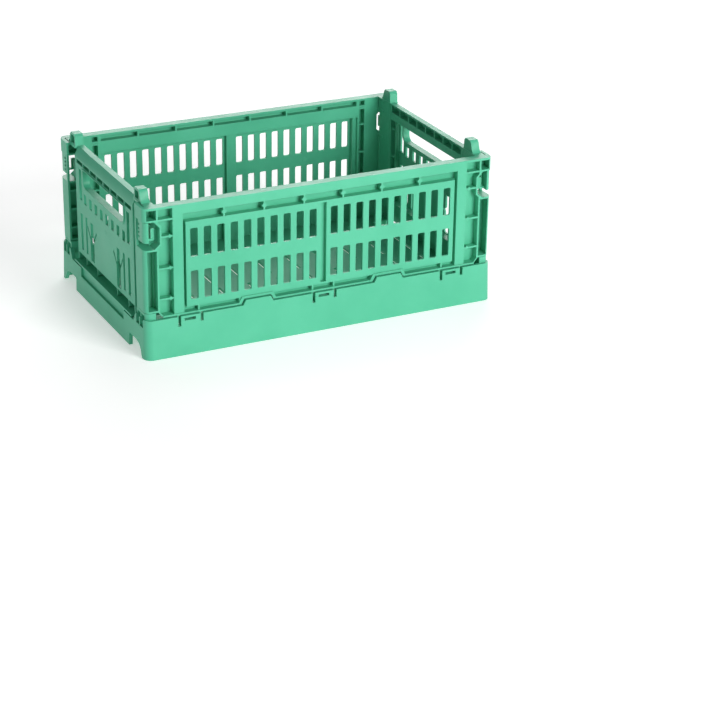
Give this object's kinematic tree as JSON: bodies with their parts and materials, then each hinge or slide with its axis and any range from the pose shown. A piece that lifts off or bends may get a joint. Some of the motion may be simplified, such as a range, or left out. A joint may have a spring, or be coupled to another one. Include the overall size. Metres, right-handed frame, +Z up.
{
  "type": "folding storage crate",
  "caption": "Small open-top folding crate with slotted long walls, end walls with hand openings, a slotted floor tray, corner latch windows and stacking lugs.",
  "frame": {"origin": "middle of the footprint, on the ground", "axes": "+X along the long walls, +Y from the front wall to the rear wall, +Z up"},
  "size_m": [0.265, 0.17, 0.1156],
  "materials": {
    "crate_plastic": "satin moulded polypropylene, mint green",
    "latch_plastic": "satin moulded polypropylene, mint green"
  },
  "bodies": {
    "base": {"base_tray": "crate_plastic"},
    "front_wall": {"front_side": "crate_plastic"},
    "rear_wall": {"rear_side": "crate_plastic"},
    "left_end_wall": {"left_end": "crate_plastic"},
    "right_end_wall": {"right_end": "crate_plastic"},
    "latch_front_left": {"latch_front_left": "latch_plastic"},
    "latch_front_right": {"latch_front_right": "latch_plastic"},
    "latch_rear_left": {"latch_rear_left": "latch_plastic"},
    "latch_rear_right": {"latch_rear_right": "latch_plastic"}
  },
  "joints": [
    {"name": "left_end_fold", "type": "hinge", "parent": "base", "child": "left_end_wall", "pos_m": [-0.125, 0, 0.0155], "axis": [0, 1, 0], "range_deg": [0, 90]},
    {"name": "right_end_fold", "type": "hinge", "parent": "base", "child": "right_end_wall", "pos_m": [0.125, 0, 0.0155], "axis": [0, -1, 0], "range_deg": [0, 90]},
    {"name": "front_wall_hinge", "type": "hinge", "parent": "base", "child": "front_wall", "pos_m": [0, -0.0794, 0.0255], "axis": [-1, 0, 0], "range_deg": [-2, 0]},
    {"name": "rear_wall_hinge", "type": "hinge", "parent": "base", "child": "rear_wall", "pos_m": [0, 0.0794, 0.0255], "axis": [1, 0, 0], "range_deg": [-2, 0]},
    {"name": "latch_front_left_press", "type": "slide", "parent": "front_wall", "child": "latch_front_left", "axis": [1, 0, 0], "range_m": [0, 0.002], "stiffness_N_per_m": 500},
    {"name": "latch_front_right_press", "type": "slide", "parent": "front_wall", "child": "latch_front_right", "axis": [-1, 0, 0], "range_m": [0, 0.002], "stiffness_N_per_m": 500},
    {"name": "latch_rear_left_press", "type": "slide", "parent": "rear_wall", "child": "latch_rear_left", "axis": [1, 0, 0], "range_m": [0, 0.002], "stiffness_N_per_m": 500},
    {"name": "latch_rear_right_press", "type": "slide", "parent": "rear_wall", "child": "latch_rear_right", "axis": [-1, 0, 0], "range_m": [0, 0.002], "stiffness_N_per_m": 500}
  ]
}
